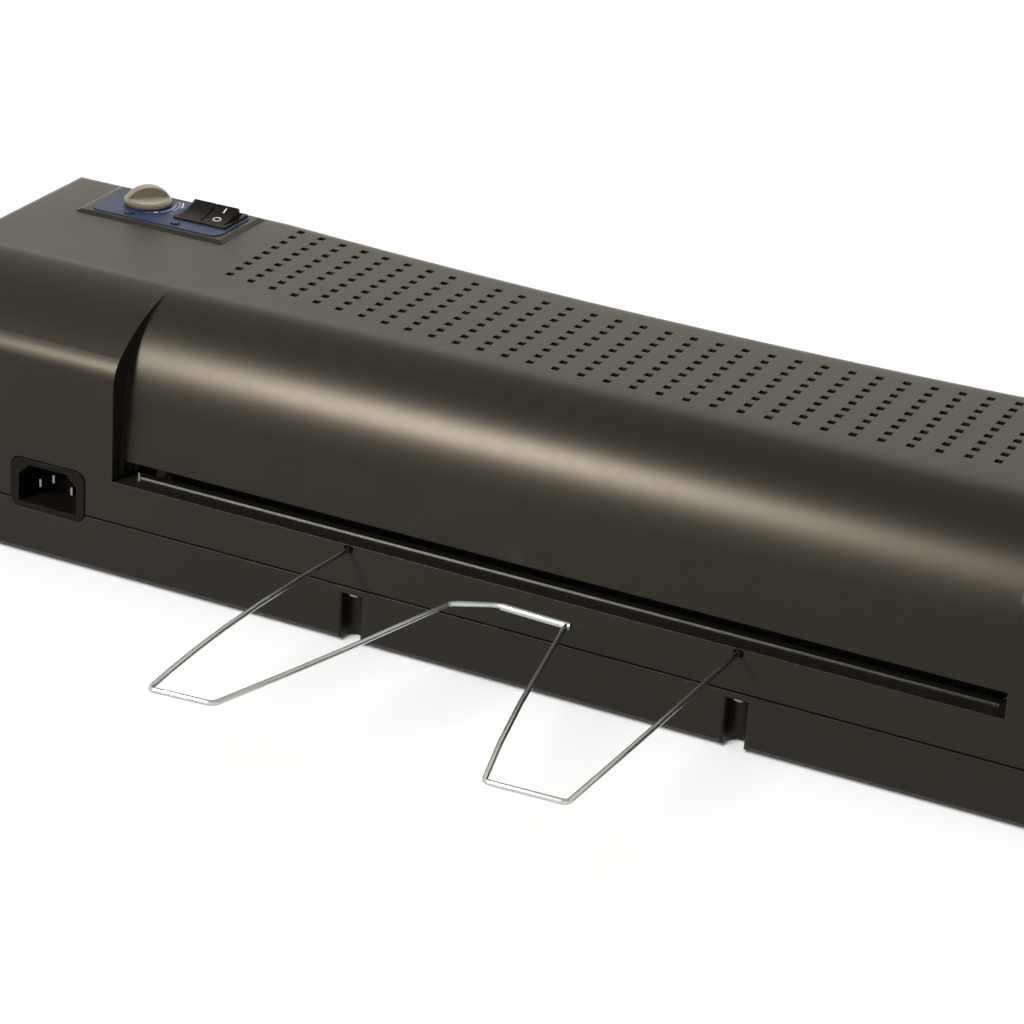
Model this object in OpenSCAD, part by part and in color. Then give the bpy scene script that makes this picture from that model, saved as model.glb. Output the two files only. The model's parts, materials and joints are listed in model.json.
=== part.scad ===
// Pouch laminator with a recessed exit hump, a vented top, a control pod and a wire exit rack.
// Every module is drawn in the machine's own frame: X along the length with 0 near the
// middle of the paper path, Y = 0 on the exit face and growing towards the operator,
// Z = 0 on the underside of the base. place() moves the finished piece so that the origin
// is the bottom centre of the whole machine, rack and rubber feet included.

/* [Body] */
// Length of the body
body_l = 505; // [500:1:520]
// Depth from the exit face to the feed face
body_d = 240; // [236:1:246]
// Height of the flat top above the underside
body_h = 104; // [103.5:0.5:106]
// Wall thickness of the housing
wall = 2.5; // [2.2:0.1:2.8]
// Height of the seam between base and cover
seam_z = 22; // [21.5:0.5:22.5]
// Height of the rubber feet below the underside
foot_h = 1.5; // [1:0.5:3]

/* [Paper path] */
// Left end of the recess between the cheeks
recess_l = -180.4; // [-181:0.1:-180]
// Right end of the recess between the cheeks
recess_r = 173.6; // [173:0.1:174.5]
// Top of the exit lip
lip_z = 39; // [38.8:0.1:39.4]
// Lower edge of the hump above the exit lip
hump_z = 45.8; // [45.4:0.1:47]
// Top of the feed shelf
shelf_z = 41.5; // [41.2:0.1:42]

/* [Rollers] */
// Radius of the rubber on every roller
roller_r = 12.85; // [12.6:0.05:12.9]
// Radius of every roller shaft
shaft_r = 5; // [4.5:0.5:5]
// Teeth on each roller gear
roller_teeth = 26; // [26]
// Teeth on the idler gear
idler_teeth = 28; // [28]
// Teeth on the motor pinion
pinion_teeth = 12; // [12]

/* [Vents] */
// Columns of vent holes
vent_cols = 33; // [20:1:33]
// Rows of vent holes
vent_rows = 9; // [5:1:9]
// Width of a vent hole
vent_w = 3.0; // [2:0.1:3.6]
// Length of a vent hole
vent_l = 3.3; // [2:0.1:4]

/* [Rack] */
// Radius of the rack wire
wire_r = 1.0; // [1]
// Upward tilt of the rack
rack_tilt = 1.75; // [1:0.25:2.5]

/* [Hidden] */
$fn = 48;

left_x = -280;
right_x = left_x + body_l;
rack_reach = 141.015;
mid_x = (left_x + right_x) / 2;
mid_y = (body_d - rack_reach) / 2;
corner_r = 14;
end_r = 6;
gap = 0.4;
base_r = 2.5;

// Exit cheek: a short arc at the front edge, then a long one up to the flat top
front_r = 14;
front_z = body_h - 27;
crown_r = 64.6;
crown_a = 42;
crown_y = front_r - (front_r - crown_r) * sin(crown_a);

// Hump between the cheeks
hump_r = 38;
hump_foot = 6.2;
hump_y = 46;
hump_cz = body_h - hump_r;

// Feed side: rounded rear edge of the top, then a straight slope down to a round nose
rear_y = 126.5;
rear_r = 12;
slope = 33;
nose_r = 16;
rear_end_y = rear_y + rear_r * sin(slope);
rear_end_z = body_h - rear_r * (1 - cos(slope));
nose_y = body_d - nose_r;
nose_top_y = nose_y + nose_r * sin(slope);
nose_z = rear_end_z - (nose_top_y - rear_end_y) * tan(slope) - nose_r * cos(slope);
scoop_depth = 9;
scoop_r = 1800;
hood_y = 196;
feed_top_z = 54;

// Vent rows bow towards the exit side in the middle
vent_x0 = -170;
vent_pitch_x = 10.42;
vent_y0 = 51.7;
vent_pitch_y = 7.04;
vent_bow = 5.45 / 10000;

// Rollers
nip_z = 42;
roller_drop = 13;
pull_y = 34;
hot_y = 88;
idler_y = (pull_y + hot_y) / 2;
low_z = nip_z - roller_drop;
high_z = nip_z + roller_drop;
gear_module = 1;
pinion_z = low_z + gear_module * (idler_teeth + pinion_teeth) / 2;
rubber_x0 = -168;
rubber_x1 = 164;
frame_t = 1.5;
frame_lx = -179;
frame_rx = 172;
frame_y0 = 14;
frame_y1 = 112;
gear_x0 = -191;
gear_w = 8;
bracket_x = -200;
bush_r = 7;
bush_gap = 0.05;

// Control pod
pod_z = 105;
pod_x0 = -254.3;
pod_x1 = -190.8;
pod_y0 = 95;
pod_y1 = 129.5;
pod_skirt = 3.7;
label_z = pod_z + 0.4;
knob_x = -235.2;
knob_y = 114.2;
knob_r = 9.7;
switch_x = -206.5;
switch_y = 115;
switch_w = 24;
switch_l = 19;
bezel_z = 106.1;
rocker_w = 9.8;
rocker_dx = 5.2;
rocker_pivot_z = 102.9;
rocker_rest = 15;
ready_lamp_x = -235.1;
power_lamp_x = -213.9;
lamp_y = 99.9;
lamp_r = 2.0;

// Mains inlet
inlet_x = -208.9;
inlet_z = 29;
inlet_w = 32.7;
inlet_h = 20.4;

// Case screws and rack
screw_x = 77;
screw_y = 3.8;
screw_top = 19.2;
screw_rear_y = 228;
rack_mid_x = -1.4;
hole_x = 77.5;
hole_z = 37.4;
hole_r = wire_r + 0.05;
foot_x = 210;
foot_r = 7;

body_col = [0.23, 0.215, 0.195];
dark_col = [0.11, 0.10, 0.09];
steel_col = [0.72, 0.72, 0.70];
rubber_col = [0.72, 0.35, 0.22];
gear_col = [0.86, 0.84, 0.78];

// ---- helpers ----

module place() translate([-mid_x, -mid_y, foot_h]) children();

function arc(cy, cz, r, a0, a1, n) =
    [for (i = [0 : n]) let (a = a0 + (a1 - a0) * i / n) [cy + r * cos(a), cz + r * sin(a)]];

// Extrudes a Y-Z outline from x0 to x1
module along_x(x0, x1) translate([x0, 0, 0]) rotate([90, 0, 90]) linear_extrude(x1 - x0) children();

// Extrudes an X-Z outline from y0 to y1
module along_y(y0, y1) translate([0, y1, 0]) rotate([90, 0, 0]) linear_extrude(y1 - y0) children();

module box(x0, x1, y0, y1, z0, z1) translate([x0, y0, z0]) cube([x1 - x0, y1 - y0, z1 - z0]);

module rod_x(x0, x1, y, z, r) translate([x0, y, z]) rotate([0, 90, 0]) cylinder(h = x1 - x0, r = r);

module tube_x(x0, x1, y, z, r_out, r_in) difference() {
    rod_x(x0, x1, y, z, r_out);
    rod_x(x0 - 1, x1 + 1, y, z, r_in);
}

// Rectangle from (x0, y0) to (x1, y1) with round corners
module round_rect(x0, y0, x1, y1, r) union() {
    translate([x0 + r, y0]) square([x1 - x0 - 2 * r, y1 - y0]);
    translate([x0, y0 + r]) square([x1 - x0, y1 - y0 - 2 * r]);
    for (x = [x0 + r, x1 - r], y = [y0 + r, y1 - r]) translate([x, y]) circle(r = r);
}

// Plan outline of the body, drawn in by i
module plan(i) round_rect(left_x + i, i, right_x - i, body_d - i, corner_r - i);

// Side outline of the cheeks from the seam upwards, drawn in by i
function side_points(i, z0) = concat(
    [[i, z0]],
    arc(front_r, front_z, front_r - i, 180, 90 + crown_a, 8),
    arc(crown_y, body_h - crown_r, crown_r - i, 90 + crown_a, 90, 14),
    arc(rear_y, body_h - rear_r, rear_r - i, 90, 90 - slope, 6),
    arc(nose_y, nose_z, nose_r - i, 90 - slope, 0, 10),
    [[body_d - i, z0]]
);

// End outline that rounds the two short top edges, drawn in by i
function end_points(i) = concat(
    [[left_x + i, 0]],
    arc(left_x + end_r, body_h - end_r, end_r - i, 180, 90, 10),
    arc(right_x - end_r, body_h - end_r, end_r - i, 90, 0, 10),
    [[right_x - i, 0]]
);

// Solid block of the upper housing, drawn in by i, open ended at z0
module cover_block(i, z0) intersection() {
    along_x(left_x - 1, right_x + 1) polygon(side_points(i, z0));
    along_y(-1, body_d + 1) polygon(end_points(i));
    translate([0, 0, z0 - 1]) linear_extrude(body_h + 5) plan(i);
}

// Front surface of the hump, drawn in by i
function hump_points(i) = concat(
    [[hump_foot + i, hump_z]],
    arc(hump_y, hump_cz, hump_r - i, 180, 90, 30)
);

// Everything in front of the hump surface, down to z0
module front_region(i, z0) polygon(concat(
    [[-5, z0], [hump_foot + i, z0]],
    hump_points(i),
    [[hump_y, body_h + 5], [-5, body_h + 5]]
));

// Shallow scoop in the feed slope: a ring around a far axis, i deeper than the outer skin
module scoop(i) translate([0, rear_y - scoop_depth + scoop_r, 0]) rotate_extrude($fn = 720) polygon(concat(
    [[scoop_r - 160, body_h + 5], [scoop_r, body_h + 5]],
    [for (k = [0 : 6]) let (a = slope * k / 6)
        [scoop_r - (rear_r - i) * sin(a), body_h - rear_r + (rear_r - i) * cos(a)]],
    [[scoop_r - (rear_r - i) * sin(slope) - 130 + rear_r,
      body_h - rear_r + (rear_r - i) * cos(slope) - (130 - rear_r) * tan(slope)],
     [scoop_r - 160, 0]]
));

// Gear outline with straight-sided teeth; turn is in tooth steps
module gear_outline(teeth, turn) {
    pitch_r = gear_module * teeth / 2;
    step = 360 / teeth;
    polygon([for (k = [0 : teeth - 1], p = [0 : 3])
        let (
            half = [0.31, 0.11, 0.11, 0.31][p] * step,
            side = [-1, -1, 1, 1][p],
            r = pitch_r + [-1.2, 0.8, 0.8, -1.2][p] * gear_module,
            a = (k + turn) * step + side * half
        ) [r * cos(a), r * sin(a)]]);
}

module gear(y, z, teeth, turn, bore) difference() {
    translate([0, y, z]) along_x(gear_x0, gear_x0 + gear_w) gear_outline(teeth, turn);
    rod_x(gear_x0 - 1, gear_x0 + gear_w + 1, y, z, bore);
}

// Path with every inner corner replaced by a short curve that starts and ends reach from it
function soften(points, reach) = [
    for (k = [0 : len(points) - 1])
        if (k == 0 || k == len(points) - 1) points[k]
        else let (
            a = points[k] + reach * unit(points[k - 1] - points[k]),
            b = points[k] + reach * unit(points[k + 1] - points[k])
        ) for (t = [0 : 0.25 : 1]) (1 - t) * (1 - t) * a + 2 * t * (1 - t) * points[k] + t * t * b
];

function unit(v) = v / norm(v);

function heading(path, k) =
    unit(path[min(k + 1, len(path) - 1)] - path[max(k - 1, 0)]);

// Round tube swept along a path; up is any direction that the path never follows
module sweep(path, r, up, sides) {
    points = [for (k = [0 : len(path) - 1])
        let (t = heading(path, k), a = unit(cross(t, up)), b = cross(t, a))
            for (s = [0 : sides - 1]) path[k] + r * (cos(360 * s / sides) * a + sin(360 * s / sides) * b)];
    last = (len(path) - 1) * sides;
    polyhedron(points, concat(
        [[for (s = [sides - 1 : -1 : 0]) s]],
        [for (k = [0 : len(path) - 2], s = [0 : sides - 1]) let (n = (s + 1) % sides)
            [k * sides + s, k * sides + n, (k + 1) * sides + n, (k + 1) * sides + s]],
        [[for (s = [0 : sides - 1]) last + s]]
    ));
}

// ---- housing ----

// Round pocket that opens to the exit face with a flared mouth
module screw_recess(x) translate([x, 0, -1]) linear_extrude(screw_top + 1) {
    translate([0, screw_y]) circle(r = 4);
    polygon(concat(
        [[-4, screw_y]], arc(-5.5, 1.5, 1.5, 0, -90, 5),
        [[-5.5, -1], [5.5, -1]], arc(5.5, 1.5, 1.5, 270, 180, 5),
        [[4, screw_y]]
    ));
}

// Outline of the tray between u0 and u1, with round lower corners
module tray_outline(u0, u1) polygon(concat(
    [[u0, seam_z]], arc(u0 + base_r, base_r, base_r, 180, 270, 5),
    arc(u1 - base_r, base_r, base_r, 270, 360, 5), [[u1, seam_z]]
));

// Solid block of the tray
module tray_block() intersection() {
    linear_extrude(seam_z - gap) plan(0);
    along_x(left_x - 1, right_x + 1) tray_outline(0, body_d);
    along_y(-1, body_d + 1) tray_outline(left_x, right_x);
}

module inlet_cut() {
    along_y(-1, 1.6) round_rect(inlet_x - inlet_w / 2 - 0.4, inlet_z - inlet_h / 2 - 0.4,
        inlet_x + inlet_w / 2 + 0.4, inlet_z + inlet_h / 2 + 0.4, 4.4);
    box(inlet_x - 14.3, inlet_x + 14.3, 0, 8, inlet_z - 9.6, inlet_z + 9.6);
}

module base_shell() color(body_col) place() difference() {
    union() {
        difference() {
            tray_block();
            translate([0, 0, wall]) linear_extrude(seam_z) plan(wall);
        }
        difference() {
            linear_extrude(seam_z + 3) plan(wall + 0.2);
            translate([0, 0, wall]) linear_extrude(seam_z + 3) plan(wall + 1.6);
        }
        for (x = [-screw_x, screw_x]) {
            intersection() {
                translate([x, screw_y, 0]) cylinder(h = seam_z - gap, r = 6.2);
                box(x - 7, x + 7, 1, 12, 0, seam_z);
            }
            translate([x, screw_rear_y, 0]) cylinder(h = seam_z - gap, r = 6.2);
        }
        for (x = [frame_lx - 8, frame_rx + frame_t], y = [30, 90])
            box(x, x + 8, y - 6, y + 6, 1, 7);
    }
    for (x = [-screw_x, screw_x]) {
        screw_recess(x);
        translate([x, screw_rear_y, -1]) cylinder(h = screw_top + 1, r = 4);
        for (y = [screw_y, screw_rear_y]) translate([x, y, 0]) cylinder(h = seam_z + 5, r = 1.55);
    }
    // Room for the bosses of the cover
    for (x = [-screw_x, screw_x]) translate([x, screw_y, seam_z - gap]) cylinder(h = 5, r = screw_y + 0.1);
    inlet_cut();
    for (x = [-foot_x, foot_x - 40], y = [26, body_d - 26])
        translate([x, y, -1]) cylinder(h = 2, r = foot_r + 0.1);
    for (k = [0 : 11]) box(-120 + 20 * k, -112 + 20 * k, 60, 120, -1, wall + 1);
}

module vent_holes() translate([0, 0, body_h - 8]) linear_extrude(20)
    for (c = [0 : vent_cols - 1], r = [0 : vent_rows - 1]) {
        x = vent_x0 + vent_pitch_x * c;
        translate([x - vent_w / 2, vent_y0 + vent_pitch_y * r + vent_bow * x * x - vent_l / 2])
            square([vent_w, vent_l]);
    }

// Wedge that carries the controls, with softly sloping sides
module pod() intersection() {
    along_x(pod_x0 - 5, pod_x1 + 5) polygon([
        [pod_y0 - pod_skirt, body_h - 0.5], [pod_y0, pod_z], [pod_y1 - 3, pod_z], [pod_y1 + 3, body_h - 6],
        [pod_y1 - 5, body_h - 6], [pod_y1 - 7, body_h - 0.5]
    ]);
    along_y(pod_y0 - 5, pod_y1 + 6) polygon([
        [pod_x0 - pod_skirt, body_h - 6], [pod_x0 - pod_skirt, body_h - 0.5], [pod_x0, pod_z],
        [pod_x1, pod_z], [pod_x1 + pod_skirt, body_h - 0.5], [pod_x1 + pod_skirt, body_h - 6]
    ]);
    translate([0, 0, body_h - 7]) linear_extrude(10)
        round_rect(pod_x0 - 3.5, pod_y0 - 3.5, pod_x1 + 3.5, pod_y1 + 10, 7);
}

module rack_socket_frame(side)
    translate([rack_mid_x + side * hole_x, 0, hole_z]) rotate([90 - rack_tilt, 0, 0]) children();

module upper_cover() color(body_col) place() difference() {
    union() {
        difference() {
            cover_block(0, seam_z + gap);
            along_x(recess_l, recess_r) front_region(0, lip_z);
            box(recess_l, recess_r, hood_y, body_d + 5, shelf_z, body_h);
            intersection() {
                scoop(0);
                box(recess_l, recess_r, 100, body_d + 5, seam_z, body_h + 10);
            }
            // Hollow under the cheeks
            intersection() {
                cover_block(wall, seam_z - 1);
                union() {
                    box(left_x, recess_l - wall, 0, body_d, 0, body_h);
                    box(recess_r + wall, right_x, 0, body_d, 0, body_h);
                }
            }
            // Hollow under the hump and the feed hood
            difference() {
                along_x(recess_l - wall - 1, recess_r + wall + 1) polygon(side_points(wall, seam_z - 1));
                along_x(recess_l - wall - 2, recess_r + wall + 2) front_region(wall, lip_z - wall);
                box(recess_l - wall - 2, recess_r + wall + 2, hood_y - wall, body_d, shelf_z - wall, body_h);
                scoop(wall);
            }
            // Exit slot and feed slot
            box(recess_l + 1, recess_r - 1, 0, 20, lip_z, hump_z);
            box(recess_l + 4, recess_r - 4, hood_y - 8, hood_y + 5, shelf_z, feed_top_z);
        }
        box(recess_l, recess_r, 1, 14, lip_z - wall, lip_z);
        pod();
        for (side = [-1, 1]) intersection() {
            rack_socket_frame(side) translate([0, 0, -13]) cylinder(h = 16, r = 2.6);
            box(-100, 100, 1, 14, 30, lip_z);
        }
        for (x = [-screw_x, screw_x]) {
            translate([x, screw_y, seam_z + gap]) cylinder(h = 10, r = screw_y - 0.1);
            translate([x, screw_rear_y, seam_z + gap]) cylinder(h = 10, r = 4);
        }
    }
    vent_holes();
    inlet_cut();
    for (side = [-1, 1]) {
        rack_socket_frame(side) translate([0, 0, -15]) cylinder(h = 20, r = hole_r);
        for (dx = [-0.5, 0.5]) rack_socket_frame(side) translate([dx, 0, -1.6]) cylinder(h = 6, r = 1.5);
    }
    for (x = [-screw_x, screw_x], y = [screw_y, screw_rear_y])
        translate([x, y, seam_z]) cylinder(h = 9, r = 1.55);
    translate([knob_x, knob_y, 90]) cylinder(h = 20, r = 5.1);
    for (x = [ready_lamp_x, power_lamp_x]) translate([x, lamp_y, 90]) cylinder(h = 20, r = lamp_r + 0.1);
    box(switch_x - 11.2, switch_x + 11.2, switch_y - 8.7, switch_y + 8.7, 90, pod_z + 5);
}

module rubber_feet() color([0.08, 0.08, 0.08]) place()
    for (x = [-foot_x, foot_x - 40], y = [26, body_d - 26])
        translate([x, y, -foot_h]) cylinder(h = foot_h + 1, r = foot_r);

module case_screws() color(steel_col) place()
    for (x = [-screw_x, screw_x], y = [screw_y, screw_rear_y])
        translate([x, y, screw_top]) {
            rotate_extrude() polygon(concat([[0, 0], [3.2, 0]],
                [for (k = [0 : 6]) [3.2 * cos(15 * k), -0.6 - 1.6 * sin(15 * k)]]));
            cylinder(h = 11.5, r = 1.5);
        }

// ---- controls ----

module control_label() color([0.24, 0.27, 0.36]) place() difference() {
    translate([0, 0, pod_z]) linear_extrude(label_z - pod_z)
        round_rect(pod_x0 + 2, pod_y0 + 1.8, pod_x1 - 2, pod_y1 - 4, 4.5);
    translate([knob_x, knob_y, 100]) cylinder(h = 10, r = 5.1);
    for (x = [ready_lamp_x, power_lamp_x]) translate([x, lamp_y, 100]) cylinder(h = 10, r = lamp_r + 0.1);
    box(switch_x - 11.2, switch_x + 11.2, switch_y - 8.7, switch_y + 8.7, 100, 110);
}

module temperature_knob() color([0.45, 0.43, 0.37]) place()
    translate([knob_x, knob_y, label_z + 0.4]) difference() {
    union() {
        rotate_extrude() polygon(concat([[0, 0], [knob_r - 0.3, 0]],
            [for (k = [0 : 8]) [knob_r - 2.2 + 2.2 * cos(11.25 * k), 0.9 + 1.9 * sin(11.25 * k)]],
            [[0, 3.3]]));
        intersection() {
            rotate_extrude() polygon(concat([[0, 0]],
                [for (k = [0 : 12]) [(knob_r - 0.4) * cos(7.5 * k), 7.2 * sin(7.5 * k)]]));
            rotate([0, 0, 44]) translate([-12, -2.3, 0]) cube([24, 4.6, 12]);
        }
    }
    translate([0, 0, -1]) cylinder(h = 3.8, r = 3);
}

module knob_shaft() color(steel_col) place()
    translate([knob_x, knob_y, 94]) cylinder(h = label_z + 3.2 - 94, r = 3);

module rotary_control() color([0.35, 0.35, 0.33]) place() difference() {
    union() {
        translate([knob_x, knob_y, 90]) cylinder(h = 11, r = 8.5);
        translate([knob_x, knob_y, 90]) cylinder(h = label_z - 90, r = 5);
        box(knob_x - 3, knob_x + 3, knob_y - 12, knob_y, 90, 92);
    }
    translate([knob_x, knob_y, 94]) cylinder(h = 20, r = 3.05);
}

module switch_bezel() color(dark_col) place() difference() {
    union() {
        box(switch_x - 11, switch_x + 11, switch_y - 8.5, switch_y + 8.5, 86, label_z + 0.5);
        translate([0, 0, label_z]) linear_extrude(bezel_z - label_z)
            round_rect(switch_x - switch_w / 2, switch_y - switch_l / 2,
                switch_x + switch_w / 2, switch_y + switch_l / 2, 0.8);
    }
    for (s = [-1, 1]) box(switch_x + s * rocker_dx - 5, switch_x + s * rocker_dx + 5,
        switch_y - 8.1, switch_y + 8.1, 97.5, 110);
    rod_x(switch_x - 10.7, switch_x + 10.7, switch_y, rocker_pivot_z, 1.05);
}

// One rocker at rest: its near edge is pressed and its far edge stands up
module rocker(side)
    translate([switch_x + side * rocker_dx, switch_y, rocker_pivot_z]) rotate([rocker_rest, 0, 0]) {
    along_x(-rocker_w / 2, rocker_w / 2) polygon([
        [-6.7, 4.8], [-6.4, 5.2], [-3, 4.6], [0, 4.4], [3, 4.6], [6.4, 5.2], [6.7, 4.8],
        [6.4, -0.5], [3, -3.6], [-3, -3.6], [-6.4, -0.5]
    ]);
    rod_x(-rocker_w / 2 - 0.25, rocker_w / 2 + 0.25, 0, 0, 1);
}

module power_rocker() color(dark_col) place() rocker(1);

module mode_rocker() color(dark_col) place() rocker(-1);

module switch_terminals() color([0.8, 0.7, 0.4]) place()
    for (s = [-1, 1], dy = [-5, 0, 5]) box(switch_x + s * 5 - 2.4, switch_x + s * 5 + 2.4,
        switch_y + dy - 0.4, switch_y + dy + 0.4, 78, 86);

module lamp(x) {
    translate([x, lamp_y, 96]) cylinder(h = label_z - 96, r = lamp_r);
    translate([x, lamp_y, 95]) cylinder(h = 1, r = lamp_r + 0.6);
}

module ready_lamp() color([0.1, 0.16, 0.1]) place() lamp(ready_lamp_x);

module power_lamp() color([0.18, 0.08, 0.07]) place() lamp(power_lamp_x);

// ---- mains inlet ----

// Pins as [across, up, start of the tip]
pins = [[-7, -1.5, 5.7], [7, -1.5, 5.7], [0, 2.5, 4]];

module inlet_socket() color([0.05, 0.05, 0.05]) place() difference() {
    union() {
        along_y(-0.3, 1.5) round_rect(inlet_x - inlet_w / 2, inlet_z - inlet_h / 2,
            inlet_x + inlet_w / 2, inlet_z + inlet_h / 2, 4);
        box(inlet_x - 14, inlet_x + 14, 1, 22, inlet_z - 9.4, inlet_z + 9.4);
    }
    along_y(-1, 17) polygon([
        [inlet_x - 12.9, inlet_z - 8], [inlet_x + 12.9, inlet_z - 8], [inlet_x + 12.9, inlet_z + 3.5],
        [inlet_x + 8.4, inlet_z + 8], [inlet_x - 8.4, inlet_z + 8], [inlet_x - 12.9, inlet_z + 3.5]
    ]);
    for (p = pins)
        box(inlet_x + p[0] - 1, inlet_x + p[0] + 1, 16, 23, inlet_z + p[1] - 1.6, inlet_z + p[1] + 1.6);
}

module inlet_pins() color(steel_col) place()
    for (p = pins) translate([inlet_x + p[0], 0, inlet_z + p[1] - 1.6]) linear_extrude(3.2) polygon([
        [-1, 29], [-1, p[2] + 2.5], [-0.45, p[2]], [0.45, p[2]], [1, p[2] + 2.5], [1, 29]
    ]);

// ---- exit guide and rack ----

module exit_guide() color(steel_col) place() {
    box(recess_l + 6, recess_r - 4.8, 9, 9.5, lip_z, lip_z + 0.5);
    box(recess_l + 6, recess_l + 6.8, 9, 9.5, lip_z + 0.5, lip_z + 2);
}

// Rack points as [x from the rack's middle, distance out from the exit face], in its tilted plane
sleeve_l = [-8.7, 12.95];
sleeve_r = [19, 14.3];
rack_left = [
    [-hole_x, -11], [-hole_x, 4], [-79.5, 30], [-80.7, 60], [-80.9, 85], [-80.3, 105], [-79.2, 124],
    [-77.8, 140.3], [-54.5, 138], [-45.2, 104], [-38.2, 76.8], [-25.2, 21.2], [-10.9, 12.84], [-4.7, 13.145]
];
rack_right = [
    [hole_x, -11], [hole_x, 4], [75.5, 85], [73.9, 135.5], [45.2, 137.2], [37.9, 110.6], [30.7, 80.1],
    [17.3, 14.217]
];
rack_bend = 2.2;

function on_rack(p) = [rack_mid_x + p[0], -p[1] * cos(rack_tilt), hole_z + p[1] * sin(rack_tilt)];

module rack_wire(points)
    sweep(soften([for (p = points) on_rack(p)], rack_bend), wire_r, [0, 0, 1], 12);

module rack_wire_left() color(steel_col) place() rack_wire(rack_left);

module rack_wire_right() color(steel_col) place() rack_wire(rack_right);

module rod_between(a, b, r) {
    d = b - a;
    translate(a) rotate([0, acos(d[2] / norm(d)), atan2(d[1], d[0])]) cylinder(h = norm(d), r = r);
}

// Sleeve that joins the two wires: one ends in its end, the other in a cross hole
module rack_sleeve() color(steel_col) place() difference() {
    rod_between(on_rack(sleeve_l), on_rack(sleeve_r), 1.35);
    rod_between(on_rack(rack_left[12]), on_rack(rack_left[13]), hole_r);
    rod_between(on_rack(rack_right[7]), on_rack(rack_right[6]), hole_r);
}

// ---- roller carriage ----

module side_frame(x) difference() {
    union() {
        box(x, x + frame_t, frame_y0, frame_y1, 7, 88);
        box(x - (x < 0 ? 8 : -frame_t), x + (x < 0 ? 0 : frame_t + 8), 24, 36, 7, 8.5);
        box(x - (x < 0 ? 8 : -frame_t), x + (x < 0 ? 0 : frame_t + 8), 84, 96, 7, 8.5);
    }
    box(x - 1, x + frame_t + 1, frame_y0 - 1, 26, 64 + 16, 90);
    for (y = [pull_y, hot_y]) {
        rod_x(x - 1, x + frame_t + 1, y, low_z, bush_r + bush_gap);
        rod_x(x - 1, x + frame_t + 1, y, high_z, bush_r + bush_gap);
        box(x - 1, x + frame_t + 1, y - bush_r - bush_gap, y + bush_r + bush_gap, high_z, high_z + 9);
    }
}

module side_frame_left() color(steel_col) place() side_frame(frame_lx);

module side_frame_right() color(steel_col) place() side_frame(frame_rx);

module tie_rods() color(steel_col) place()
    for (p = [[107, 76], [24, 76], [107, 14]])
        rod_x(frame_lx + frame_t, frame_rx, p[0], p[1], 3.5);

module roller(y, z) tube_x(rubber_x0, rubber_x1, y, z, roller_r, shaft_r);

module roller_shaft(y, z) rod_x(gear_x0 - 2, frame_rx + frame_t + 8, y, z, shaft_r);

module hot_roller_lower() color(rubber_col) place() roller(hot_y, low_z);

module hot_roller_upper() color(rubber_col) place() roller(hot_y, high_z);

module pull_roller_lower() color([0.25, 0.25, 0.25]) place() roller(pull_y, low_z);

module pull_roller_upper() color([0.25, 0.25, 0.25]) place() roller(pull_y, high_z);

module hot_shaft_lower() color(steel_col) place() roller_shaft(hot_y, low_z);

module hot_shaft_upper() color(steel_col) place() roller_shaft(hot_y, high_z);

module pull_shaft_lower() color(steel_col) place() roller_shaft(pull_y, low_z);

module pull_shaft_upper() color(steel_col) place() roller_shaft(pull_y, high_z);

module roller_bushes() color([0.9, 0.88, 0.8]) place()
    for (y = [pull_y, hot_y], z = [low_z, high_z]) {
        tube_x(frame_lx - 1.5, frame_lx + frame_t + 3.5, y, z, bush_r, shaft_r + bush_gap);
        tube_x(frame_rx - 3.5, frame_rx + frame_t + 1.5, y, z, bush_r, shaft_r + bush_gap);
    }

// Leaf springs that press the upper bushes down; each hangs from the upper edge of its frame
module nip_springs() color(steel_col) place()
    for (x = [frame_lx + frame_t, frame_rx - 3]) along_x(x, x + 3) polygon([
        [pull_y - 6, high_z + bush_r], [pull_y + 6, high_z + bush_r], [idler_y - 4, 86], [idler_y + 4, 86],
        [hot_y - 6, high_z + bush_r], [hot_y + 6, high_z + bush_r], [hot_y + 6, high_z + bush_r + 0.8],
        [hot_y - 5.2, high_z + bush_r + 0.8], [idler_y + 4.8, 87], [idler_y - 4.8, 87],
        [pull_y + 5.2, high_z + bush_r + 0.8], [pull_y - 6, high_z + bush_r + 0.8]
    ]);

// Curved heater plate over part of a hot roller, from angle a0 to a1
module shoe_outline(z, a0, a1) polygon(concat(
    arc(hot_y, z, 15.4, a0, a1, 20),
    arc(hot_y, z, 14, a1, a0, 20)
));

// Its ears, from angle e0 to e1, reach both side frames
module heater_shoe(z, a0, a1, e0, e1) {
    along_x(frame_lx + frame_t + 3.6, frame_rx - 3.6) shoe_outline(z, a0, a1);
    along_x(frame_lx + frame_t, frame_rx) shoe_outline(z, e0, e1);
}

module heater_shoe_lower() color([0.75, 0.76, 0.78]) place() heater_shoe(low_z, 200, 340, 312, 340);

module heater_shoe_upper() color([0.75, 0.76, 0.78]) place() heater_shoe(high_z, 20, 160, 20, 48);

module thermostat() color([0.85, 0.82, 0.7]) place()
    translate([20, hot_y, high_z + 15.4]) cylinder(h = 9, r = 7);

module hot_gear_lower() color(gear_col) place() gear(hot_y, low_z, roller_teeth, 0, shaft_r);

module hot_gear_upper() color(gear_col) place() gear(hot_y, high_z, roller_teeth, 0.5, shaft_r);

module pull_gear_lower() color(gear_col) place() gear(pull_y, low_z, roller_teeth, 0, shaft_r);

module pull_gear_upper() color(gear_col) place() gear(pull_y, high_z, roller_teeth, 0.5, shaft_r);

module idler_gear() color(gear_col) place() gear(idler_y, low_z, idler_teeth, 0.5, 3.05);

module idler_stud() color(steel_col) place() {
    rod_x(gear_x0 - 2, frame_lx, idler_y, low_z, 3);
    rod_x(gear_x0 + gear_w + 0.5, frame_lx, idler_y, low_z, 5);
}

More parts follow.
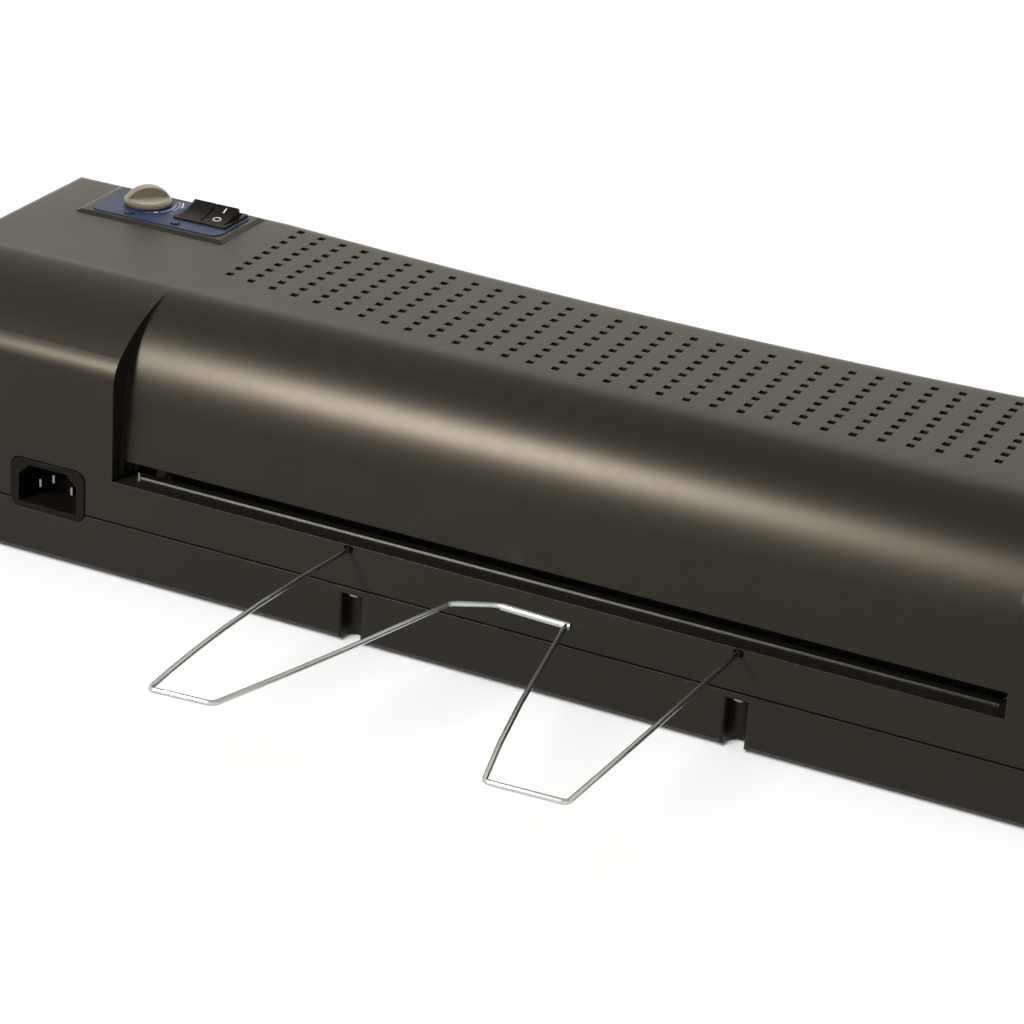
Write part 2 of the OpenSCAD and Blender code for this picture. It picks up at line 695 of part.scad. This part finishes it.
module motor_pinion() color([0.8, 0.68, 0.35]) place() gear(idler_y, pinion_z, pinion_teeth, 0, 3);

module motor_shaft() color(steel_col) place()
    rod_x(bracket_x - 3, gear_x0 + gear_w + 1, idler_y, pinion_z, 3);

module drive_motor() color([0.7, 0.7, 0.68]) place() difference() {
    union() {
        rod_x(bracket_x - 24, bracket_x, idler_y, pinion_z, 27);
        rod_x(bracket_x - 52, bracket_x - 24, idler_y, pinion_z, 25);
    }
    rod_x(bracket_x - 3.2, bracket_x + 1, idler_y, pinion_z, 3.05);
}

module motor_bracket() color(steel_col) place() difference() {
    box(bracket_x, bracket_x + 1.6, 38, 84, wall, 84);
    rod_x(bracket_x - 1, bracket_x + 3, idler_y, pinion_z, 6);
}

module bracket_spacers() color(steel_col) place()
    for (p = [[43, 78], [79, 78], [idler_y, 8.6]]) rod_x(bracket_x + 1.6, frame_lx, p[0], p[1], 2.6);

// ---- inner guides ----

module feed_guide_lower() color(steel_col) place()
    box(frame_lx + 5, frame_rx - 5, 104, hood_y - wall, shelf_z - 1, shelf_z);

module feed_guide_upper() color(steel_col) place() along_x(frame_lx + 5, frame_rx - 5) polygon([
    [104, 45.5], [hood_y - wall, feed_top_z - 3], [hood_y - wall, feed_top_z - 2], [104, 46.5]
]);

module mid_guide_lower() color(steel_col) place()
    box(frame_lx + frame_t, frame_rx, idler_y - 12, idler_y + 12, nip_z - 2.6, nip_z - 1.6);

module mid_guide_upper() color(steel_col) place()
    box(frame_lx + frame_t, frame_rx, idler_y - 12, idler_y + 12, nip_z + 1.6, nip_z + 2.6);

// ---- electrics ----

module circuit_board() color([0.12, 0.35, 0.2]) place() box(-266, -206, 150, 214, 12, 13.6);

module board_relay() color([0.1, 0.2, 0.5]) place() box(-232, -214, 184, 200, 13.6, 29);

module board_capacitor() color([0.1, 0.1, 0.12]) place() translate([-222, 165, 13.6]) cylinder(h = 22, r = 7);

module board_spacers() color(gear_col) place()
    for (x = [-262, -210], y = [154, 210]) translate([x, y, wall]) cylinder(h = 12 - wall, r = 3);

module inner_wires() color([0.5, 0.1, 0.08]) place() {
    sweep(soften([
        [-215.9, 29, 26.5], [-215.9, 34, 26.5], [-262, 60, 20], [-262, 140, 20],
        [-250, 195, 24], [-250, 195, 13.6]
    ], 3), 1.2, [0.3, 0.1, 1], 8);
    sweep(soften([
        [-201.9, 29, 26.5], [-201.9, 33, 26.5], [-206, 33, 33], [-264, 33, 35], [-266, 110, 60],
        [-236, 140, 62], [switch_x - 5, switch_y + 5, 68], [switch_x - 5, switch_y + 5, 78]
    ], 2), 1.2, [0.3, 1, 0.2], 8);
}

base_shell();
upper_cover();
control_label();
temperature_knob();
knob_shaft();
rotary_control();
switch_bezel();
power_rocker();
mode_rocker();
switch_terminals();
ready_lamp();
power_lamp();
inlet_socket();
inlet_pins();
exit_guide();
rack_wire_left();
rack_wire_right();
rack_sleeve();
rubber_feet();
case_screws();
side_frame_left();
side_frame_right();
tie_rods();
hot_roller_lower();
hot_shaft_lower();
hot_roller_upper();
hot_shaft_upper();
pull_roller_lower();
pull_shaft_lower();
pull_roller_upper();
pull_shaft_upper();
roller_bushes();
nip_springs();
heater_shoe_lower();
heater_shoe_upper();
thermostat();
hot_gear_lower();
hot_gear_upper();
pull_gear_lower();
pull_gear_upper();
idler_gear();
idler_stud();
motor_pinion();
motor_shaft();
drive_motor();
motor_bracket();
bracket_spacers();
feed_guide_lower();
feed_guide_upper();
mid_guide_lower();
mid_guide_upper();
circuit_board();
board_relay();
board_capacitor();
board_spacers();
inner_wires();
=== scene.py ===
import json
import math

import bmesh
import bpy
from mathutils import Matrix, Vector
from mathutils.bvhtree import BVHTree


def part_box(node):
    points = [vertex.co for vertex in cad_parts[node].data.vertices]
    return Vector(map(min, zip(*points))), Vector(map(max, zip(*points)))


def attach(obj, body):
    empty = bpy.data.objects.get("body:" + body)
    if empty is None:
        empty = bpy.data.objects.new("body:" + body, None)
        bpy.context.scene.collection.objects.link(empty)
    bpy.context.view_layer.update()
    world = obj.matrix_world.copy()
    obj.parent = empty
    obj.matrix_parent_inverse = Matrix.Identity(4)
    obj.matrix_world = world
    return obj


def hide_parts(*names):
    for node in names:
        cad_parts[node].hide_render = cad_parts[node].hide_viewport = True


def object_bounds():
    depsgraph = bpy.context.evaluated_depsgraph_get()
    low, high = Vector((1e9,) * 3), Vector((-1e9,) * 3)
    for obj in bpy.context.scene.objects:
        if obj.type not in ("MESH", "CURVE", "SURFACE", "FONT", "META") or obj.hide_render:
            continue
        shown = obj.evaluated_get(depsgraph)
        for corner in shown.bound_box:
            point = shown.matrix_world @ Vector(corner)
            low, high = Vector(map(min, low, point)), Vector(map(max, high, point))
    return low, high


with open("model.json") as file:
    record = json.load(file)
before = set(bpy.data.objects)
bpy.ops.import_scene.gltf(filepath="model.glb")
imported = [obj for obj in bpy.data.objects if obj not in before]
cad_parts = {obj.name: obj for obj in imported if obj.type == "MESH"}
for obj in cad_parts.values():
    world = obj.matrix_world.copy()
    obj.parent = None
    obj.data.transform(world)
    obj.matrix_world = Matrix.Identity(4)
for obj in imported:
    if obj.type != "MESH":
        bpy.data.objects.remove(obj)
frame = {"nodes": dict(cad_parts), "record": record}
cad_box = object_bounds()
nodes = frame["nodes"]
MM = 0.001

# ---- places taken from the frame ----

shell_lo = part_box("base_shell")[0]
cover_lo, cover_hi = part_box("upper_cover")
knob_lo, knob_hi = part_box("temperature_knob")
roller_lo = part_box("hot_roller_lower")[0]
label_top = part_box("control_label")[1].z
floor_z = cad_box[0][2]


# ---- node helpers ----

class Shader:
    """A material with a Principled shader and object coordinates, in metres."""

    def __init__(self, name):
        self.mat = bpy.data.materials.new(name)
        self.mat.use_nodes = True
        self.tree = self.mat.node_tree
        self.bsdf = self.tree.nodes["Principled BSDF"]
        self.coords = self.node("ShaderNodeTexCoord").outputs["Object"]

    def node(self, kind, **settings):
        made = self.tree.nodes.new(kind)
        for key, value in settings.items():
            setattr(made, key, value)
        return made

    def link(self, source, target):
        self.tree.links.new(source, target)

    def set(self, **values):
        for key, value in values.items():
            self.bsdf.inputs[key.replace("_", " ")].default_value = value

    def noise(self, size, detail=2.0, rough=0.5, stretch=(1, 1, 1)):
        """Noise with features about size metres across; stretch scales the coordinates first."""
        mapping = self.node("ShaderNodeMapping")
        mapping.inputs["Scale"].default_value = stretch
        self.link(self.coords, mapping.inputs["Vector"])
        tex = self.node("ShaderNodeTexNoise")
        tex.inputs["Scale"].default_value = 1 / size
        tex.inputs["Detail"].default_value = detail
        tex.inputs["Roughness"].default_value = rough
        self.link(mapping.outputs["Vector"], tex.inputs["Vector"])
        return tex.outputs["Fac"]

    def spread(self, fac, low, high, start=0.3, end=0.7):
        """A number from low to high as fac goes from start to end."""
        made = self.node("ShaderNodeMapRange")
        for key, value in (("From Min", start), ("From Max", end), ("To Min", low), ("To Max", high)):
            made.inputs[key].default_value = value
        self.link(fac, made.inputs["Value"])
        return made.outputs["Result"]

    def tint(self, fac, dark, light):
        """A base colour between dark and light by fac."""
        ramp = self.node("ShaderNodeValToRGB")
        for stop, place, colour in zip(ramp.color_ramp.elements, (0.3, 0.7), (dark, light)):
            stop.position = place
            stop.color = (*colour, 1)
        self.link(fac, ramp.inputs["Fac"])
        self.link(ramp.outputs["Color"], self.bsdf.inputs["Base Color"])

    def bump(self, fac, depth, edge=0.0):
        """Relief of depth metres from fac, on edges rounded by edge metres."""
        made = self.node("ShaderNodeBump")
        made.inputs["Distance"].default_value = depth
        made.inputs["Strength"].default_value = 1.0
        self.link(fac, made.inputs["Height"])
        if edge:
            bevel = self.node("ShaderNodeBevel", samples=4)
            bevel.inputs["Radius"].default_value = edge
            self.link(bevel.outputs["Normal"], made.inputs["Normal"])
        self.link(made.outputs["Normal"], self.bsdf.inputs["Normal"])


def shade(colour, amount):
    """The colour made lighter or darker."""
    return tuple(c * amount for c in colour)


def plastic(name, colour, rough, grain=0.4 * MM, depth=0.006 * MM, edge=0.0, spread=0.06, mottle=0.08):
    """Moulded plastic with a fine eroded grain; gloss and colour vary by spread and mottle."""
    tint_size, gloss_size = 35 * MM, 6 * MM
    s = Shader(name)
    s.tint(s.noise(tint_size, 3), shade(colour, 1 - mottle), shade(colour, 1 + mottle))
    gloss = s.spread(s.noise(gloss_size, 3), rough - spread / 2, rough + spread / 2)
    s.link(gloss, s.bsdf.inputs["Roughness"])
    s.bump(s.noise(grain, 2, 0.6), depth, edge)
    return s


def metal(name, colour, rough, stretch=(1, 1, 1), size=0.5 * MM, depth=0.003 * MM):
    """Metal with drawn or brushed marks, long where stretch is small."""
    tint_size = 12 * MM
    s = Shader(name)
    s.set(Metallic=1.0)
    marks = s.noise(size, 3, 0.6, stretch)
    s.tint(s.noise(tint_size, 2), shade(colour, 0.92), shade(colour, 1.05))
    s.link(s.spread(marks, rough * 0.8, rough * 1.25), s.bsdf.inputs["Roughness"])
    s.bump(marks, depth)
    return s


# ---- materials ----

def housing_material():
    """Dark grey-brown moulding with softly rounded edges."""
    s = plastic("housing_plastic", (0.0045, 0.0039, 0.0033), 0.37, grain=0.35 * MM, depth=0.009 * MM,
                edge=0.3 * MM, spread=0.015)
    s.set(IOR=1.305, Specular_Tint=(1.0, 0.9, 0.715, 1))
    return s.mat


def black_material():
    """Near black moulding of the switch and the inlet."""
    s = plastic("black_plastic", (0.0026, 0.0022, 0.002), 0.38, grain=0.3 * MM, depth=0.004 * MM,
                edge=0.35 * MM)
    s.set(IOR=1.175, Specular_Tint=(1.0, 0.88, 0.76, 1))
    return s.mat


def label_material():
    """Dark blue printed film."""
    s = plastic("label_film", (0.007, 0.014, 0.042), 0.42, grain=0.25 * MM, depth=0.003 * MM,
                spread=0.04, mottle=0.05)
    s.set(IOR=1.27, Specular_Tint=(0.8, 0.86, 1.0, 1))
    return s.mat


def knob_material():
    """Warm grey moulding."""
    s = plastic("knob_plastic", (0.13, 0.117, 0.09), 0.42, grain=0.3 * MM, depth=0.004 * MM, edge=0.5 * MM,
                spread=0.05, mottle=0.04)
    return s.mat


def lamp_material(name, colour):
    """Unlit lens, almost black."""
    s = plastic(name, colour, 0.15, grain=0.8 * MM, depth=0.002 * MM, spread=0.03, mottle=0.1)
    s.set(IOR=1.35)
    return s.mat


def print_material(name, colour):
    """Ink."""
    return plastic(name, colour, 0.5, grain=0.2 * MM, depth=0.002 * MM, spread=0.04, mottle=0.03).mat


def pull_rubber_material():
    """Dull black rubber."""
    s = plastic("pull_rubber", (0.003, 0.003, 0.003), 0.7, grain=0.5 * MM, depth=0.004 * MM)
    s.set(IOR=1.2)
    return s.mat


MATERIALS = {
    "housing": housing_material(),
    "black_plastic": black_material(),
    "label": label_material(),
    "knob": knob_material(),
    "lamp_green": lamp_material("lamp_green", (0.0015, 0.005, 0.002)),
    "lamp_red": lamp_material("lamp_red", (0.006, 0.0015, 0.0012)),
    "plated_wire": metal("plated_wire", (0.42, 0.455, 0.46), 0.22, (1, 0.2, 1), 0.4 * MM, 0.002 * MM).mat,
    "bright_steel": metal("bright_steel", (0.24, 0.24, 0.225), 0.26, (0.1, 1, 1), 0.4 * MM).mat,
    # Steel inside the body is coloured far darker than bare steel so it reads black through the exit slot:
    # painted shade.
    "sheet_steel": metal("sheet_steel", (0.07, 0.07, 0.065), 0.45, (0.1, 1, 1), 0.8 * MM).mat,
    "feet_rubber": plastic("feet_rubber", (0.012, 0.012, 0.012), 0.75, 0.6 * MM, 0.02 * MM).mat,
    "hot_rubber": plastic("hot_rubber", (0.3, 0.07, 0.035), 0.6, 0.5 * MM, 0.01 * MM).mat,
    "pull_rubber": pull_rubber_material(),
    "gear_plastic": plastic("gear_plastic", (0.3, 0.28, 0.23), 0.45, 0.5 * MM, 0.004 * MM).mat,
    "aluminium_plate": metal("aluminium_plate", (0.7, 0.7, 0.72), 0.35, (0.05, 1, 1)).mat,
    "ceramic": plastic("ceramic", (0.6, 0.55, 0.42), 0.5, 0.5 * MM, 0.004 * MM).mat,
    "brass": metal("brass", (0.32, 0.21, 0.08), 0.35).mat,
    "board": plastic("board", (0.012, 0.07, 0.03), 0.3, 0.8 * MM, 0.01 * MM).mat,
    "components": plastic("components", (0.02, 0.03, 0.12), 0.35, 0.5 * MM, 0.005 * MM).mat,
    "wire_skin": plastic("wire_skin", (0.25, 0.015, 0.01), 0.4, 0.5 * MM, 0.004 * MM).mat,
}

PRINT_WHITE = print_material("print_white", (0.36, 0.36, 0.34))
PRINT_BLUE = print_material("print_blue", (0.10, 0.17, 0.30))
PRINT_RED = print_material("print_red", (0.19, 0.03, 0.03))

for part in frame["record"]["subparts"]:
    node = nodes[part["node"]]
    node.data.materials.clear()
    node.data.materials.append(MATERIALS[part["material_slot"]])


# ---- shading of the CAD surfaces ----

def even_shading(limit):
    """Modifier group that smooths the shading over facets, except at edges sharper than limit degrees."""
    group = bpy.data.node_groups.new("even_shading", "GeometryNodeTree")
    group.interface.new_socket("Geometry", in_out="INPUT", socket_type="NodeSocketGeometry")
    group.interface.new_socket("Geometry", in_out="OUTPUT", socket_type="NodeSocketGeometry")

    def add(kind, **settings):
        made = group.nodes.new(kind)
        for key, value in settings.items():
            setattr(made, key, value)
        return made

    start = add("NodeGroupInput")
    merge = add("GeometryNodeMergeByDistance")
    merge.inputs["Distance"].default_value = 0.002 * MM
    drop = add("GeometryNodeRemoveAttribute")
    drop.inputs["Name"].default_value = "custom_normal"
    even = add("GeometryNodeSetShadeSmooth", domain="FACE")
    even.inputs["Shade Smooth"].default_value = True
    soft = add("GeometryNodeSetShadeSmooth", domain="EDGE")
    soft.inputs["Shade Smooth"].default_value = True
    crisp = add("GeometryNodeSetShadeSmooth", domain="EDGE")
    crisp.inputs["Shade Smooth"].default_value = False
    angle = add("GeometryNodeInputMeshEdgeAngle")
    above = add("FunctionNodeCompare", data_type="FLOAT", operation="GREATER_THAN")
    above.inputs["B"].default_value = math.radians(limit)
    group.links.new(angle.outputs["Unsigned Angle"], above.inputs["A"])
    group.links.new(above.outputs["Result"], crisp.inputs["Selection"])
    chain = [start, merge, drop, even, soft, crisp, add("NodeGroupOutput")]
    for source, target in zip(chain, chain[1:]):
        group.links.new(source.outputs[0], target.inputs[0])
    return group


EVEN = even_shading(28)
EVEN_COVER = even_shading(16)
for name, node in nodes.items():
    node.modifiers.new("even_shading", "NODES").node_group = EVEN_COVER if name == "upper_cover" else EVEN


# ---- mesh helpers ----

def mesh_from(bm, name):
    """Mesh of a finished bmesh."""
    mesh = bpy.data.meshes.new(name)
    bm.to_mesh(mesh)
    bm.free()
    return mesh


def add_piece(name, mesh, material, body):
    """New piece that rides on a body and takes its finish from a material slot."""
    piece = bpy.data.objects.new(name, mesh)
    bpy.context.scene.collection.objects.link(piece)
    piece.data.materials.append(material)
    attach(piece, body)
    return piece


def lathe(name, profile, centre, material, body, steps=64):
    """Turned piece from (radius, height) points above centre."""
    bm = bmesh.new()
    rings = []
    for r, z in profile:
        if r == 0:
            rings.append([bm.verts.new((centre.x, centre.y, centre.z + z))])
            continue
        rings.append([bm.verts.new((
            centre.x + r * math.cos(2 * math.pi * k / steps),
            centre.y + r * math.sin(2 * math.pi * k / steps),
            centre.z + z,
        )) for k in range(steps)])
    for low, high in zip(rings, rings[1:]):
        for k in range(steps):
            n = (k + 1) % steps
            corners = [low[k % len(low)], low[n % len(low)], high[n % len(high)], high[k % len(high)]]
            bm.faces.new(list(dict.fromkeys(corners)))
    bmesh.ops.recalc_face_normals(bm, faces=bm.faces)
    for face in bm.faces:
        face.smooth = True
    return add_piece(name, mesh_from(bm, name), material, body)


def surface_under(node):
    """A function that gives the height of a CAD node's top surface at x, y."""
    mesh = nodes[node].data
    tree = BVHTree.FromPolygons([v.co for v in mesh.vertices], [p.vertices[:] for p in mesh.polygons])

    def height(x, y):
        hit = tree.ray_cast(Vector((x, y, 1.0)), Vector((0, 0, -1)))
        return hit[0].z

    return height


printed_pieces = []


def printed(name, grids, height, material, body, thick=0.04 * MM):
    """Thin print of several grids of plan points, rows across and columns along, laid on a surface."""
    bm = bmesh.new()
    for grid in grids:
        sheets = []
        for lift in (-thick, thick):
            sheets.append([[bm.verts.new((x, y, height(x, y) + lift)) for x, y in row] for row in grid])
        low, high = sheets
        rows, cols = len(grid), len(grid[0])
        for r in range(rows - 1):
            for c in range(cols - 1):
                bm.faces.new([high[r][c], high[r][c + 1], high[r + 1][c + 1], high[r + 1][c]])
                bm.faces.new([low[r + 1][c], low[r + 1][c + 1], low[r][c + 1], low[r][c]])
        rim = [(0, c) for c in range(cols)] + [(r, cols - 1) for r in range(1, rows)]
        rim += [(rows - 1, c) for c in range(cols - 2, -1, -1)] + [(r, 0) for r in range(rows - 2, 0, -1)]
        for (r0, c0), (r1, c1) in zip(rim, rim[1:] + rim[:1]):
            bm.faces.new([low[r0][c0], low[r1][c1], high[r1][c1], high[r0][c0]])
    bmesh.ops.remove_doubles(bm, verts=bm.verts, dist=0.0005 * MM)
    bmesh.ops.recalc_face_normals(bm, faces=bm.faces)
    printed_pieces.append(add_piece(name, mesh_from(bm, name), material, body))


def arc_grid(cx, cy, r0, r1, a0, a1, steps=24):
    """Plan grid of a ring's stretch, in degrees from +X."""
    angles = [math.radians(a0 + (a1 - a0) * k / steps) for k in range(steps + 1)]
    return [[(cx + r * math.cos(a), cy + r * math.sin(a)) for a in angles] for r in (r0, r1)]


def bar_grid(cx, cy, w, l, steps=6):
    """Plan grid of a bar along Y."""
    return [[(cx + sx * w / 2, cy - l / 2 + l * k / steps) for k in range(steps + 1)] for sx in (-1, 1)]


# ---- control pod ----

def flat_label(x, y):
    """Height of the label, the same everywhere."""
    return label_top


def dial_scale():
    """Curved dashes beside the dial on the switch side."""
    x, y = (knob_lo.x + knob_hi.x) / 2, (knob_lo.y + knob_hi.y) / 2
    r = (knob_hi.x - knob_lo.x) / 2
    blue = [
        arc_grid(x, y, r + 1.3 * MM, r + 1.9 * MM, -32, 30),
        arc_grid(x, y, r + 3.0 * MM, r + 3.5 * MM, -8, 34),
    ]
    white = [
        arc_grid(x, y, r + 0.9 * MM, r + 1.5 * MM, -47, -37),
        arc_grid(x, y, r + 4.3 * MM, r + 4.8 * MM, 12, 36),
    ]
    red = [
        arc_grid(x, y, r + 0.8 * MM, r + 1.3 * MM, -64, -51),
        arc_grid(x, y, r + 1.2 * MM, r + 3.4 * MM, 34, 42),
    ]
    inks = {"blue": (blue, PRINT_BLUE), "white": (white, PRINT_WHITE), "red": (red, PRINT_RED)}
    for name, (dashes, ink) in inks.items():
        printed("dial_scale_" + name, dashes, flat_label, ink, "housing")


def switch_marks():
    """Bar and ring on the power rocker."""
    lo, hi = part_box("power_rocker")
    x, y = (lo.x + hi.x) / 2, (lo.y + hi.y) / 2
    top = surface_under("power_rocker")
    marks = [
        bar_grid(x, y + 2.9 * MM, 0.5 * MM, 2.6 * MM),
        arc_grid(x, y - 3.3 * MM, 1.3 * MM, 1.7 * MM, 0, 360, 48),
    ]
    printed("switch_marks", marks, top, PRINT_WHITE, "power_switch", 0.03 * MM)


def lamp_lens(name, node, slot):
    """Domed lens with a narrow rim in place of a lamp's plain cylinder."""
    lo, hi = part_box(node)
    centre = Vector(((lo.x + hi.x) / 2, (lo.y + hi.y) / 2, hi.z))
    r, foot, rim, sink = 1.95 * MM, -8 * MM, -0.35 * MM, 0.15 * MM
    dome_r, dome_h = r * 0.78, r * 0.42
    dome = [(dome_r * math.cos(math.radians(a)), dome_h * math.sin(math.radians(a)) - sink)
            for a in range(0, 90, 10)]
    profile = [(0, foot), (r, foot), (r, rim), (r * 0.8, rim)] + dome + [(0, dome_h - sink)]
    piece = lathe(name, profile, centre, MATERIALS[slot], "housing", 40)
    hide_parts(node)


dial_scale()
switch_marks()
lamp_lens("ready_lens", "ready_lamp", "lamp_green")
lamp_lens("power_lens", "power_lamp", "lamp_red")


# ---- floor and light ----

KEY_LIT = [
    "base_shell", "upper_cover", "case_screws",
    "control_label", "switch_bezel", "power_rocker", "mode_rocker",
    "inlet_socket", "inlet_pins", "exit_guide",
    "rack_wire_left", "rack_wire_right", "rack_sleeve",
]


def floor():
    """Plain pale floor."""
    size = 6.0
    bm = bmesh.new()
    bmesh.ops.create_grid(bm, x_segments=8, y_segments=8, size=size)
    piece = bpy.data.objects.new("floor", mesh_from(bm, "floor"))
    piece.location.z = floor_z
    bpy.context.scene.collection.objects.link(piece)
    s = plastic("floor_paper", (0.42, 0.425, 0.44), 0.9, grain=1.5 * MM, depth=0.01 * MM,
                spread=0.04, mottle=0.005)
    s.set(IOR=1.3)
    piece.data.materials.append(s.mat)
    return piece


def away_at(azimuth, elevation):
    """Direction at that azimuth from +Y towards +X and that height above the horizon."""
    az, el = math.radians(azimuth), math.radians(elevation)
    return Vector((math.sin(az) * math.cos(el), math.cos(az) * math.cos(el), math.sin(el)))


def add_lamp(name, light, away, place, pieces):
    """Lamp that shines along -away and reaches only the pieces."""
    lamp = bpy.data.objects.new(name, light)
    bpy.context.scene.collection.objects.link(lamp)
    lamp.location = place
    lamp.rotation_euler = away.to_track_quat("Z", "Y").to_euler()
    group = bpy.data.collections.new(name + "_reach")
    for piece in pieces:
        group.objects.link(piece)
    for member in group.collection_objects:
        member.light_linking.link_state = "INCLUDE"
    lamp.light_linking.receiver_collection = group


def key_light():
    """Soft box on the exit side, to the left of the camera; it only reaches the outer pieces."""
    width, height, distance, radiance = 0.2, 0.54, 1.5, 165
    light = bpy.data.lights.new("key", "AREA")
    light.shape = "RECTANGLE"
    light.size = width
    light.size_y = height
    light.energy = radiance * math.pi * width * height
    light.color = (1.0, 0.98, 0.95)
    away = away_at(-150, 35.5)
    aim = Vector(((cover_lo.x + cover_hi.x) / 2, cover_lo.y, cover_hi.z))
    lit = [nodes[name] for name in KEY_LIT] + printed_pieces
    add_lamp("key", light, away, aim + away * distance, lit)


def knob_light():
    """Broad light from above and behind that only reaches the dial."""
    light = bpy.data.lights.new("knob_light", "SUN")
    light.energy = 3.4
    light.angle = math.radians(50)
    light.color = (1.0, 0.97, 0.9)
    add_lamp("knob_light", light, away_at(-20, 72), Vector((0, 0, 2)), [nodes["temperature_knob"]])


def floor_light(ground):
    """Wide even light on the floor."""
    light = bpy.data.lights.new("floor_light", "SUN")
    light.energy = 6.8
    light.angle = math.radians(35)
    add_lamp("floor_light", light, away_at(-170, 50), Vector((0, 0, 2)), [ground])


def sky():
    """Plain room light: bright round the horizon, dimmer overhead."""
    world = bpy.data.worlds.new("room")
    bpy.context.scene.world = world
    world.use_nodes = True
    tree = world.node_tree
    coords = tree.nodes.new("ShaderNodeTexCoord")
    split = tree.nodes.new("ShaderNodeSeparateXYZ")
    ramp = tree.nodes.new("ShaderNodeValToRGB")
    tree.links.new(coords.outputs["Generated"], split.inputs["Vector"])
    tree.links.new(split.outputs["Z"], ramp.inputs["Fac"])
    tree.links.new(ramp.outputs["Color"], tree.nodes["Background"].inputs["Color"])
    stops = [(0.0, 1.0), (0.3, 1.0), (0.45, 0.88), (0.62, 0.52), (1.0, 0.47)]
    elements = ramp.color_ramp.elements
    while len(elements) < len(stops):
        elements.new(0.5)
    for element, (place, value) in zip(elements, stops):
        element.position = place
        element.color = (value, value * 0.955, value * 0.82, 1)
    tree.nodes["Background"].inputs["Strength"].default_value = 1.65


# ---- camera ----

def camera():
    """The photo's camera, solved from the vents and the straight seams."""
    azimuth, elevation, roll = 24.19, 24.60, 3.83
    distance = 1.2
    aim = Vector((roller_lo.x + 166.1 * MM, shell_lo.y - 27.7 * MM, floor_z + 84.2 * MM))
    back = away_at(180 - azimuth, elevation)
    lens = bpy.data.cameras.new("camera")
    lens.sensor_width = 36
    lens.lens = 121.74
    lens.clip_start = 0.05
    view = bpy.data.objects.new("camera", lens)
    bpy.context.scene.collection.objects.link(view)
    turn = back.to_track_quat("Z", "Y").to_matrix() @ Matrix.Rotation(math.radians(roll), 3, "Z")
    view.matrix_world = Matrix.Translation(aim + back * distance) @ turn.to_4x4()
    bpy.context.scene.camera = view


ground = floor()
sky()
key_light()
knob_light()
floor_light(ground)
camera()
bpy.context.scene.view_settings.view_transform = "Standard"
